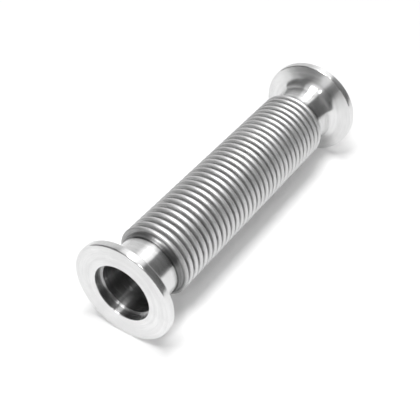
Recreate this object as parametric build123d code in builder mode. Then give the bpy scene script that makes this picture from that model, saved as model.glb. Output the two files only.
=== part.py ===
from build123d import *
from math import isclose, radians, tan
import os

# Metal bellows hose for vacuum lines, nominal bore 16 mm, with a quick-release small flange
# at each end. It stands on its lower flange: the origin is the centre of that sealing face
# and +Z runs along the hose. All lengths are in millimetres.

# Whole hose
overall_length = 100.0  # from sealing face to sealing face
bore_diameter = 16.0  # clear bore of both necks

# Small flange, turned from bar in one piece with its neck
flange_diameter = 30.0
rim_width = 2.2  # cylindrical land around the flange
rim_edge_radius = 0.4  # rounding of both edges of that land
clamp_taper_angle = 15.0  # slope of the back, which the clamping ring wedges on
recess_step = 0.6  # radial width of the centring ring's seat
recess_depth = 2.5
mouth_chamfer = 0.2
neck_wall = 1.0
neck_fillet_radius = 3.0  # hollow between the taper and the neck
flange_height = 12.0  # from the sealing face to the weld end of the neck

# Weld collar, slid over the cuff of the bellows and welded to the neck
collar_rise = 0.4  # how far it stands out past the neck
collar_width = 0.9
collar_edge_radius = 0.2

# Bellows, rolled from one thin tube, with a plain cuff at each end
bellows_wall = 0.2
root_step = 0.1  # how much larger in radius the bellows' bore is than the necks'
fold_depth = 2.5  # from the foot of a groove to the crest, on the outside
fold_pitch = 2.24  # aimed for: a whole number of folds fills the length
cuff_gap = 0.14  # plain cuff left between the collar and the first fold

# Radii and heights that follow
bore_radius = bore_diameter / 2
recess_radius = bore_radius + recess_step
neck_radius = bore_radius + neck_wall
flange_radius = flange_diameter / 2
taper_rise = (flange_radius - neck_radius) * tan(radians(clamp_taper_angle))
collar_radius = neck_radius + collar_rise
root_inner_radius = bore_radius + root_step
root_outer_radius = root_inner_radius + bellows_wall
crest_outer_radius = root_outer_radius + fold_depth
crest_inner_radius = crest_outer_radius - bellows_wall

bellows_bottom = flange_height
bellows_top = overall_length - flange_height
folds_bottom = bellows_bottom + collar_width + cuff_gap
folds_length = overall_length - 2 * folds_bottom
fold_count = round(folds_length / fold_pitch)
fold_length = folds_length / fold_count
middle = Plane.XY.offset(overall_length / 2)


def ring_edges(part, radius):
    """The circular edges of that radius, lowest first."""
    circles = part.edges().filter_by(GeomType.CIRCLE)
    return circles.filter_by(lambda edge: isclose(edge.radius, radius, abs_tol=1e-6)).sort_by(Axis.Z)


def fold_points(root_radius, crest_radius, crest_half_width):
    """One side of the folded wall from the lowest groove upwards, its flanks square to the axis."""
    points = []
    for fold in range(fold_count):
        crest_height = folds_bottom + (fold + 0.5) * fold_length
        low = crest_height - crest_half_width
        high = crest_height + crest_half_width
        points += [(root_radius, low), (crest_radius, low), (crest_radius, high), (root_radius, high)]
    return points


# Flanges: the upper one is the lower one seen in the middle plane of the hose
with BuildPart() as lower_flange:
    with BuildSketch(Plane.XZ):
        with BuildLine():
            Polyline(
                (recess_radius, 0),
                (flange_radius, 0),
                (flange_radius, rim_width),
                (neck_radius, rim_width + taper_rise),
                (neck_radius, flange_height),
                (bore_radius, flange_height),
                (bore_radius, recess_depth),
                (recess_radius, recess_depth),
                close=True,
            )
        make_face()
    revolve(axis=Axis.Z)
    fillet(ring_edges(lower_flange, neck_radius)[0], radius=neck_fillet_radius)
    fillet(ring_edges(lower_flange, flange_radius), radius=rim_edge_radius)
    chamfer(ring_edges(lower_flange, recess_radius)[0], length=mouth_chamfer)

with BuildPart() as upper_flange:
    mirror(lower_flange.part, about=middle)

# Weld collars, each between its neck and the first fold
with BuildPart() as lower_weld_collar:
    with BuildSketch(Plane.XY.offset(flange_height)):
        Circle(collar_radius)
        Circle(root_outer_radius, mode=Mode.SUBTRACT)
    extrude(amount=collar_width)
    fillet(ring_edges(lower_weld_collar, collar_radius), radius=collar_edge_radius)

with BuildPart() as upper_weld_collar:
    mirror(lower_weld_collar.part, about=middle)

# Bellows: the section of its wall, outer side up and inner side down, turned about the axis
with BuildPart() as bellows:
    outer_half_width = fold_length / 4 + bellows_wall / 2
    inner_half_width = fold_length / 4 - bellows_wall / 2
    outer_side = fold_points(root_outer_radius, crest_outer_radius, outer_half_width)
    inner_side = fold_points(root_inner_radius, crest_inner_radius, inner_half_width)
    with BuildSketch(Plane.XZ):
        with BuildLine():
            Polyline(
                (root_inner_radius, bellows_bottom),
                (root_outer_radius, bellows_bottom),
                *outer_side,
                (root_outer_radius, bellows_top),
                (root_inner_radius, bellows_top),
                *reversed(inner_side),
                close=True,
            )
        make_face()
    revolve(axis=Axis.Z)

pieces = {
    "lower_flange": lower_flange,
    "upper_flange": upper_flange,
    "lower_weld_collar": lower_weld_collar,
    "upper_weld_collar": upper_weld_collar,
    "bellows": bellows,
}
os.makedirs("parts", exist_ok=True)
for name, piece in pieces.items():
    piece.part.label = name
    export_step(piece.part, f"parts/{name}.step")
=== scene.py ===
from math import atan2, cos, degrees, pi, radians, remainder, sin, tan

import bpy
from mathutils import Matrix, Vector


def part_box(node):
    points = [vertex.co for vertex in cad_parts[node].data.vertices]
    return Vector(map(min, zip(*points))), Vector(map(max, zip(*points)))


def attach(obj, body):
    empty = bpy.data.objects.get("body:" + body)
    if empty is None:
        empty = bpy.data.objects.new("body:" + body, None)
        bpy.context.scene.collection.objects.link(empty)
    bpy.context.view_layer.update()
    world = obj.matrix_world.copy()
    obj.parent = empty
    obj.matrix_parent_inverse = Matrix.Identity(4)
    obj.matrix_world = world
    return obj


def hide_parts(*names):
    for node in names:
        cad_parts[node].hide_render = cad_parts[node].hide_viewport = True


# Metal bellows hose for vacuum lines. Everything is in metres and in the frame of the model: the
# hose stands on its lower flange and +Z runs along it. The studio is turned against that frame:
# the hose lies on its side there, so the studio's floor is a plane that touches both flanges.

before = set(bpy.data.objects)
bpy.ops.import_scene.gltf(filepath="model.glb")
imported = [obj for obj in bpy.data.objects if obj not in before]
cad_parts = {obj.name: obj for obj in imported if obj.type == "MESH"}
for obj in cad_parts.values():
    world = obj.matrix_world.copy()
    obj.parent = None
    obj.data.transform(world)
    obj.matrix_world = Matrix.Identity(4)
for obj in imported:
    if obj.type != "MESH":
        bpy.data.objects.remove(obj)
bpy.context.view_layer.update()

MM = 0.001

# Taken from the model
lower_flange_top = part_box("lower_flange")[1]
lower_collar_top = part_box("lower_weld_collar")[1]
bellows_low, bellows_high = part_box("bellows")
flange_radius = lower_flange_top.x
flange_height = lower_flange_top.z
collar_radius = lower_collar_top.x
collar_top = lower_collar_top.z
crest_radius = bellows_high.x
bellows_bottom = bellows_low.z
bellows_top = bellows_high.z
hose_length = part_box("upper_flange")[1].z
middle_height = hose_length / 2

# Small flange
bore_radius = 8 * MM
seat_radius = 8.6 * MM
seat_depth = 2.5 * MM
seat_corner = 0.05 * MM
mouth_edge = 0.15 * MM
rim_width = 2.2 * MM
rim_edge = 0.4 * MM
taper_angle = radians(15)
neck_radius = 9 * MM
neck_fillet = 3 * MM
sharp_edge = 0.06 * MM
taper_height = rim_width + (flange_radius - neck_radius) * tan(taper_angle)

# Weld collar
collar_edge = 0.2 * MM
ripple_depth = 0.03 * MM
ripple_count = 90

# Bellows
fold_count = 33
bellows_wall = 0.2 * MM
root_radius = 8.3 * MM  # outside, at the foot of a groove
cuff_gap = 0.14 * MM
folds_bottom = collar_top + cuff_gap
fold_length = (hose_length - 2 * folds_bottom) / fold_count
wide_bend = fold_length / 4 + bellows_wall / 2  # outside of a bend in the wall
narrow_bend = fold_length / 4 - bellows_wall / 2  # inside of the same bend


# ---------------------------------------------------------------- sections and lathed meshes


def arc(centre, radius, start, end, steps):
    """Points of an arc in the (radius, height) plane, from angle start to angle end in degrees."""
    angles = [radians(start + (end - start) * step / steps) for step in range(steps + 1)]
    return [(centre[0] + radius * cos(angle), centre[1] + radius * sin(angle)) for angle in angles]


def rounded_outline(corners, steps=6):
    """A closed outline through corners of (radius, height, rounding)."""
    outline = []
    count = len(corners)
    for index, (radius, height, rounding) in enumerate(corners):
        corner = Vector((radius, height))
        if not rounding:
            outline.append((radius, height))
            continue
        back = (Vector(corners[index - 1][:2]) - corner).normalized()
        ahead = (Vector(corners[(index + 1) % count][:2]) - corner).normalized()
        half_angle = back.angle(ahead) / 2
        centre = corner + (back + ahead).normalized() * rounding / sin(half_angle)
        start = corner + back * rounding / tan(half_angle) - centre
        end = corner + ahead * rounding / tan(half_angle) - centre
        first = atan2(start.y, start.x)
        turn = remainder(atan2(end.y, end.x) - first, 2 * pi)
        outline += arc(centre, rounding, degrees(first), degrees(first + turn), steps)
    return outline


def upside_down(outline):
    """The same outline at the other end of the hose."""
    return [(radius, hose_length - height) for radius, height in reversed(outline)]


def lathe(name, outline, turns, ripple=None):
    """A closed solid of revolution about Z. ripple(angle, radius) moves a point outwards."""
    vertices = []
    for turn in range(turns):
        angle = 2 * pi * turn / turns
        for radius, height in outline:
            out = radius + (ripple(angle, radius) if ripple else 0)
            vertices.append((out * cos(angle), out * sin(angle), height))
    count = len(outline)
    faces = []
    for turn in range(turns):
        here = turn * count
        there = (turn + 1) % turns * count
        for index in range(count):
            ahead = (index + 1) % count
            faces.append((here + index, there + index, there + ahead, here + ahead))
    mesh = bpy.data.meshes.new(name)
    mesh.from_pydata(vertices, [], faces)
    mesh.shade_smooth()
    mesh.set_sharp_from_angle(angle=radians(35))
    piece = bpy.data.objects.new(name, mesh)
    bpy.context.scene.collection.objects.link(piece)
    return piece


def flange_outline():
    """Section of the flange with its neck, sealing face at height 0."""
    return rounded_outline([
        (seat_radius, 0, mouth_edge),
        (flange_radius, 0, rim_edge),
        (flange_radius, rim_width, rim_edge),
        (neck_radius, taper_height, neck_fillet),
        (neck_radius, flange_height, sharp_edge),
        (bore_radius, flange_height, 0),
        (bore_radius, seat_depth, sharp_edge),
        (seat_radius, seat_depth, seat_corner),
    ])


def collar_outline():
    """Section of the weld collar, with a hollow weld that runs up to the flank of the first fold."""
    flank = folds_bottom + narrow_bend
    hollow = flank - collar_top
    edge_centre = (collar_radius - collar_edge, flange_height + collar_edge)
    outline = arc(edge_centre, collar_edge, -90, 0, steps=6)
    outline += arc((collar_radius + hollow, collar_top), hollow, 180, 90, steps=10)
    outline += [
        (root_radius + narrow_bend, flank),
        (root_radius, folds_bottom),
        (root_radius, flange_height),
    ]
    return outline


def weld_ripple(angle, radius):
    """Overlapping ripples of the weld, which fade out from the collar's outside to the neck."""
    share = (radius - neck_radius) / (collar_radius - neck_radius)
    return -ripple_depth * min(1, max(0, share)) * abs(sin(angle * ripple_count / 2))


def bellows_outline():
    """Section of the folded wall: up the outer side and down the inner side."""
    root_inside = root_radius - bellows_wall
    root_bend = root_radius + narrow_bend  # radius at which a groove's bend has its centre
    crest_bend = crest_radius - wide_bend  # and a crest's
    outer = [(root_radius, bellows_bottom)]
    inner = [(root_inside, bellows_bottom)]
    for fold in range(fold_count):
        crest = folds_bottom + (fold + 0.5) * fold_length
        below = crest - fold_length / 2
        above = crest + fold_length / 2
        outer += arc((root_bend, below), narrow_bend, 180, 90, steps=4)
        outer += arc((crest_bend, crest), wide_bend, -90, 90, steps=8)
        outer += arc((root_bend, above), narrow_bend, 270, 180, steps=4)[:-1]
        inner += arc((root_inside + wide_bend, below), wide_bend, 180, 90, steps=3)
        inner += arc((crest_bend, crest), narrow_bend, -90, 90, steps=5)
        inner += arc((root_inside + wide_bend, above), wide_bend, 270, 180, steps=3)[:-1]
    folds_top = hose_length - folds_bottom
    outer += [(root_radius, folds_top), (root_radius, bellows_top)]
    inner += [(root_inside, folds_top), (root_inside, bellows_top)]
    return outer + inner[::-1]


# ---------------------------------------------------------------- materials


class Nodes:
    """Short way to add shader nodes to a material or world, whose own tree is emptied first."""

    def __init__(self, owner):
        owner.use_nodes = True
        self.tree = owner.node_tree
        self.tree.nodes.clear()

    def add(self, kind, inputs=None, **settings):
        made = self.tree.nodes.new("ShaderNode" + kind)
        for name, value in settings.items():
            setattr(made, name, value)
        for key, value in (inputs or {}).items():
            socket = made.inputs[key]
            if isinstance(value, bpy.types.NodeSocket):
                self.tree.links.new(value, socket)
            else:
                socket.default_value = value
        return made

    def math(self, operation, first, second=0.0):
        return self.add("Math", {0: first, 1: second}, operation=operation).outputs[0]

    def remap(self, value, low, high, to_low, to_high):
        """Runs from to_low to to_high while value runs from low to high, and stays level past them."""
        inputs = {"Value": value, "From Min": low, "From Max": high, "To Min": to_low, "To Max": to_high}
        return self.add("MapRange", inputs).outputs["Result"]

    def finish(self, kind, surface):
        """Adds the output node of that kind, which shows the surface."""
        output = self.add(kind)
        self.tree.links.new(surface.outputs[0], output.inputs["Surface"])


def position(nodes):
    return nodes.add("TexCoord").outputs["Object"]


def distance_from_axis(nodes, axes):
    flat = nodes.add("CombineXYZ", {"X": axes["X"], "Y": axes["Y"]}).outputs[0]
    return nodes.add("VectorMath", {0: flat}, operation="LENGTH").outputs["Value"]


def turning_marks(nodes, axes, pitch, wander):
    """Noise that is nearly the same all the way round a turned surface. wander breaks it up a little."""
    radius = distance_from_axis(nodes, axes)
    place = nodes.add("CombineXYZ", {
        "X": nodes.math("MULTIPLY", radius, 1 / pitch),
        "Y": nodes.math("MULTIPLY", axes["Z"], 1 / pitch),
        "Z": nodes.math("MULTIPLY", axes["X"], wander / pitch),
    }).outputs[0]
    sideways = nodes.math("MULTIPLY", axes["Y"], wander / pitch)
    inputs = {"Vector": place, "W": sideways, "Scale": 1.0, "Detail": 3.0, "Roughness": 0.6}
    return nodes.add("TexNoise", inputs, noise_dimensions="4D").outputs["Fac"]


def blotches(nodes, size, detail):
    """Soft noise in every direction."""
    inputs = {"Vector": position(nodes), "Scale": 1 / size, "Detail": detail, "Roughness": 0.55}
    return nodes.add("TexNoise", inputs).outputs["Fac"]


def scratches(nodes, turn):
    """Thin marks from handling: 1 on a mark, 0 elsewhere. turn is the direction of the marks."""
    inputs = {"Vector": position(nodes), "Rotation": turn, "Scale": (14 / MM, 0.2 / MM, 0.9 / MM)}
    place = nodes.add("Mapping", inputs).outputs[0]
    noise = nodes.add("TexNoise", {"Vector": place, "Scale": 1.0, "Detail": 0.0}).outputs["Fac"]
    return nodes.remap(noise, 0.75, 0.81, 0.0, 1.0)


def painted_weld_shade(nodes, axes, cloud):
    """Share of the colour left beside the welds: painted shade and dark reflection in a ragged band round
    each weld, darkest next to it.
    """
    from_middle = nodes.math("ABSOLUTE", nodes.math("SUBTRACT", axes["Z"], middle_height))
    weld = middle_height - (flange_height + collar_top) / 2
    from_weld = nodes.math("ABSOLUTE", nodes.math("SUBTRACT", from_middle, weld))
    ragged = nodes.math("ADD", from_weld, nodes.math("MULTIPLY", cloud, 1.2 * MM))
    return nodes.remap(ragged, 1.1 * MM, 2.6 * MM, 0.5, 1.0)


def uneven_normal(nodes, layers):
    """Bumps on top of one another, from (height, distance) pairs, the lowest layer first."""
    bump = None
    for height, distance in layers:
        inputs = {"Height": height, "Strength": 1.0, "Distance": distance}
        if bump:
            inputs["Normal"] = bump.outputs[0]
        bump = nodes.add("Bump", inputs)
    return bump.outputs[0]


def steel(
    name, grey, roughness, anisotropy, pitch, lay_depth, swell_depth, edge_tint=1.0, groove_shade_and_rough_radii=None
):
    """
    Bare stainless steel with a circular lay of turning marks. grey is the share of light that it
    mirrors, and edge_tint what is left of that near a grazing angle. pitch and lay_depth are the
    width and height of the marks, swell_depth the height of the slow waves under them. From the
    larger of the two groove_shade_and_rough_radii to the smaller, the steel turns rougher and its
    colour darker, which is painted shade in the grooves. Beside the welds the colour is darkened
    too, as painted shade and dark reflection.
    """
    material = bpy.data.materials.new(name)
    nodes = Nodes(material)
    axes = nodes.add("SeparateXYZ", {0: position(nodes)}).outputs
    fine = turning_marks(nodes, axes, pitch, 0.02)
    broad = turning_marks(nodes, axes, pitch * 7, 0.05)
    cloud = blotches(nodes, 4 * MM, 3.0)
    swell = blotches(nodes, 6 * MM, 1.0)
    lay = nodes.math("ADD", nodes.math("MULTIPLY", broad, 0.45), nodes.math("MULTIPLY", fine, 0.3))
    tone = nodes.math("ADD", lay, nodes.math("MULTIPLY", cloud, 0.25))
    shade = nodes.remap(tone, 0.4, 0.6, grey - 0.09, grey + 0.03)
    marks = nodes.math("MAXIMUM", scratches(nodes, (0.3, 0.5, 1.1)), scratches(nodes, (1.2, 0.2, 2.4)))
    shade = nodes.math("SUBTRACT", shade, nodes.math("MULTIPLY", marks, 0.08))
    rough = nodes.remap(tone, 0.3, 0.7, roughness * 0.85, roughness * 1.15)
    # Painted shade: the colour darkens towards the foot of the grooves, where shade falls. The roughness
    # rises there as well.
    if groove_shade_and_rough_radii:
        unshaded_share = nodes.remap(distance_from_axis(nodes, axes), *groove_shade_and_rough_radii, 0.0, 1.0)
        shade = nodes.math("MULTIPLY", shade, nodes.remap(unshaded_share, 0.0, 1.0, 0.68, 1.0))
        rough = nodes.math("MULTIPLY", rough, nodes.remap(unshaded_share, 0.0, 1.0, 1.3, 1.0))
    # Painted shade and dark reflection: the colour is darkened in a band round each weld.
    shade = nodes.math("MULTIPLY", shade, painted_weld_shade(nodes, axes, cloud))
    layers = [(swell, swell_depth), (broad, lay_depth * 14), (fine, lay_depth)]
    colour = nodes.add("CombineColor", {"Red": shade, "Green": shade, "Blue": shade})
    shader = nodes.add("BsdfPrincipled", {
        "Base Color": colour.outputs[0],
        "Metallic": 1.0,
        "Specular Tint": (edge_tint, edge_tint, edge_tint, 1),
        "Roughness": rough,
        "Anisotropic": anisotropy,
        "Anisotropic Rotation": 0.25,
        "Normal": uneven_normal(nodes, layers),
        "Tangent": nodes.add("Tangent", direction_type="RADIAL", axis="Z").outputs[0],
    })
    nodes.finish("OutputMaterial", shader)
    return material


turned_steel = steel(
    "turned_steel", grey=0.78, roughness=0.24, anisotropy=0.93,
    pitch=0.12 * MM, lay_depth=0.0015 * MM, swell_depth=0.16 * MM,
)
# Bore walls: their own rougher, more strongly lined finish, with a darker grey that is painted shade
# inside the bore.
bored_and_shaded_steel = steel(
    "bored_and_shaded_steel", grey=0.46, roughness=0.26, anisotropy=1.0,
    pitch=0.15 * MM, lay_depth=0.001 * MM, swell_depth=0.05 * MM,
)
formed_steel = steel(
    "formed_steel", grey=0.76, roughness=0.5, anisotropy=0.15,
    pitch=0.2 * MM, lay_depth=0.0005 * MM, swell_depth=0.06 * MM,
    edge_tint=0.45, groove_shade_and_rough_radii=(8.8 * MM, 10.2 * MM),
)
weld_steel = steel(
    "weld_steel", grey=0.46, roughness=0.32, anisotropy=0.7,
    pitch=0.1 * MM, lay_depth=0.0004 * MM, swell_depth=0.05 * MM,
)


# ---------------------------------------------------------------- pieces


def dress(piece, material, node):
    """Puts a piece in the place of the node that it replaces."""
    piece.data.materials.append(material)
    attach(piece, "root")
    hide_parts(node)


def bore_finish(piece):
    """Gives the walls of a flange's bore and of its ring seat their own material, whose darker grey is
    painted shade.
    """
    piece.data.materials.append(bored_and_shaded_steel)
    for face in piece.data.polygons:
        if face.center.xy.length < seat_radius and abs(face.normal.z) < 0.7:
            face.material_index = 1


def add_flange(node, outline):
    piece = lathe(node + "_turned", outline, 256)
    dress(piece, turned_steel, node)
    bore_finish(piece)


def add_collar(node, outline):
    piece = lathe(node + "_bead", outline, 360, weld_ripple)
    dress(piece, weld_steel, node)


def add_bellows():
    piece = lathe("bellows_folded", bellows_outline(), 96)
    dress(piece, formed_steel, "bellows")


add_flange("lower_flange", flange_outline())
add_flange("upper_flange", upside_down(flange_outline()))
add_collar("lower_weld_collar", collar_outline())
add_collar("upper_weld_collar", upside_down(collar_outline()))
add_bellows()


# ---------------------------------------------------------------- studio

# Directions in the studio: up from the floor, to the right of the hose, away along the hose
UP = Vector((1, 0, 0))
RIGHT = Vector((0, -1, 0))
AWAY = Vector((0, 0, -1))


def aim_axes(holder, x_axis, y_axis, z_axis):
    """Turns an object so that its own axes lie along the three given ones."""
    holder.rotation_mode = "QUATERNION"
    holder.rotation_quaternion = Matrix((x_axis, y_axis, z_axis)).transposed().to_quaternion()


def shows_background(nodes):
    """1 for the rays that show the background: seen by the camera, mirrored or let through."""
    path = nodes.add("LightPath").outputs
    glossy = nodes.math("MAXIMUM", path["Is Glossy Ray"], path["Is Transmission Ray"])
    return nodes.math("MAXIMUM", path["Is Camera Ray"], glossy)


def add_floor():
    """White floor under the lying hose. A camera behind it looks through it."""
    reach = 3.0
    near_edge = hose_length + 0.12
    corners = [(-reach, -reach), (reach, -reach), (reach, near_edge), (-reach, near_edge)]
    mesh = bpy.data.meshes.new("studio_floor")
    mesh.from_pydata([(-flange_radius, y, z) for y, z in corners], [], [(0, 1, 2, 3)])
    floor = bpy.data.objects.new("studio_floor", mesh)
    bpy.context.scene.collection.objects.link(floor)
    material = bpy.data.materials.new("studio_floor")
    nodes = Nodes(material)
    behind = nodes.add("NewGeometry").outputs["Backfacing"]
    from_camera = nodes.add("LightPath").outputs["Is Camera Ray"]
    white = nodes.add("BsdfDiffuse", {"Color": (0.95, 0.95, 0.95, 1)})
    glow = nodes.add("Emission", {"Strength": nodes.math("MULTIPLY", shows_background(nodes), 0.18)})
    lifted = nodes.add("AddShader", {0: white.outputs[0], 1: glow.outputs[0]})
    clear = nodes.add("BsdfTransparent")
    shown = nodes.add("MixShader", {
        0: nodes.math("MULTIPLY", behind, from_camera),
        1: lifted.outputs[0],
        2: clear.outputs[0],
    })
    nodes.finish("OutputMaterial", shown)
    mesh.materials.append(material)


def far_wall(nodes, right, away):
    """Pale wall past the hose's far end, which comes forward on the left."""
    reach = nodes.math("ADD", away, nodes.math("MULTIPLY", right, -0.55))
    return nodes.remap(reach, 0.42, 0.9, 0.0, 0.82)


def overhead_panel(nodes, up, right, away):
    """Bright strip along the hose overhead, weaker above its near end."""
    offset = nodes.math("ABSOLUTE", nodes.math("ADD", right, 0.06))
    outside = nodes.math("SUBTRACT", offset, nodes.math("MULTIPLY", up, 0.48))
    strip = nodes.remap(outside, -0.06, 0.06, 1.15, 0.0)
    return nodes.math("MULTIPLY", strip, nodes.remap(away, 0.05, 0.45, 0.4, 1.0))


def side_wall(nodes, right, away):
    """Dim wall to the right of the hose."""
    offset = nodes.math("ABSOLUTE", nodes.math("SUBTRACT", away, 0.05))
    wall = nodes.remap(offset, 0.15, 0.5, 0.19, 0.0)
    return nodes.math("MULTIPLY", wall, nodes.remap(right, 0.45, 0.7, 0.0, 1.0))


def near_ceiling(nodes, up, right, away):
    """Dim ceiling over the near end, darker on both sides."""
    near_end = nodes.remap(away, 0.0, 0.35, 0.22, 0.0)
    overhead = nodes.remap(up, 0.0, 0.5, 0.0, 1.0)
    left_side = nodes.remap(right, -0.4, 0.2, 0.6, 1.0)
    right_side = nodes.remap(right, 0.4, 0.7, 1.0, 0.3)
    ceiling = nodes.math("MULTIPLY", near_end, overhead)
    return nodes.math("MULTIPLY", ceiling, nodes.math("MULTIPLY", left_side, right_side))


def add_room():
    """Dim room round the hose. Its pale walls are seen and mirrored, but light nothing."""
    world = bpy.data.worlds.new("studio_room")
    bpy.context.scene.world = world
    nodes = Nodes(world)
    direction = nodes.add("TexCoord").outputs["Generated"]
    up, right, away = (
        nodes.add("VectorMath", {0: direction, 1: axis}, operation="DOT_PRODUCT").outputs["Value"]
        for axis in (UP, RIGHT, AWAY)
    )
    pale = nodes.math("MAXIMUM", far_wall(nodes, right, away), overhead_panel(nodes, up, right, away))
    pale = nodes.math("MAXIMUM", pale, side_wall(nodes, right, away))
    straight_ahead = nodes.remap(away, 0.88, 0.97, 1.0, 0.5)
    pale = nodes.math("MULTIPLY", nodes.math("MULTIPLY", pale, straight_ahead), shows_background(nodes))
    dim = nodes.math("ADD", near_ceiling(nodes, up, right, away), 0.08)
    background = nodes.add("Background", {"Color": (1, 1, 1, 1), "Strength": nodes.math("ADD", pale, dim)})
    nodes.finish("OutputWorld", background)


def add_softbox(name, roll, lean, half_width, half_length, radiance):
    """
    Rectangular lamp that faces the middle of the hose. roll turns it from overhead to the right,
    lean from across the hose to the far end. Both, and the half sizes as the hose sees them, are
    in degrees.
    """
    distance = 1.2
    across_hose = UP * cos(radians(roll)) + RIGHT * sin(radians(roll))
    toward = across_hose * cos(radians(lean)) + AWAY * sin(radians(lean))
    width = 2 * distance * tan(radians(half_width))
    length = 2 * distance * tan(radians(half_length))
    lamp = bpy.data.lights.new(name, "AREA")
    lamp.shape = "RECTANGLE"
    lamp.size = width
    lamp.size_y = length
    lamp.energy = radiance * pi * width * length
    holder = bpy.data.objects.new(name, lamp)
    bpy.context.scene.collection.objects.link(holder)
    holder.location = Vector((0, 0, middle_height)) + toward * distance
    side = AWAY.cross(toward).normalized()
    aim_axes(holder, side, toward.cross(side), toward)
    holder.visible_camera = False


def add_camera():
    """Looks down on the lying hose from its near end and its right."""
    camera = bpy.data.cameras.new("camera")
    camera.lens = 76.2
    camera.sensor_width = 36
    camera.clip_start = 0.01
    holder = bpy.data.objects.new("camera", camera)
    bpy.context.scene.collection.objects.link(holder)
    holder.location = Vector((164.0, -103.9, 216.4)) * MM
    aim = Vector((-1.63, 0, 59.45)) * MM
    back = (holder.location - aim).normalized()
    right = UP.cross(back).normalized()
    aim_axes(holder, right, back.cross(right), back)
    bpy.context.scene.camera = holder


add_floor()
add_room()
add_softbox("overhead_softbox", roll=0, lean=-8, half_width=8.5, half_length=18, radiance=12.8)
add_softbox("front_softbox", roll=20, lean=-37, half_width=3, half_length=3, radiance=28.0)
add_camera()
bpy.context.scene.view_settings.view_transform = "Standard"
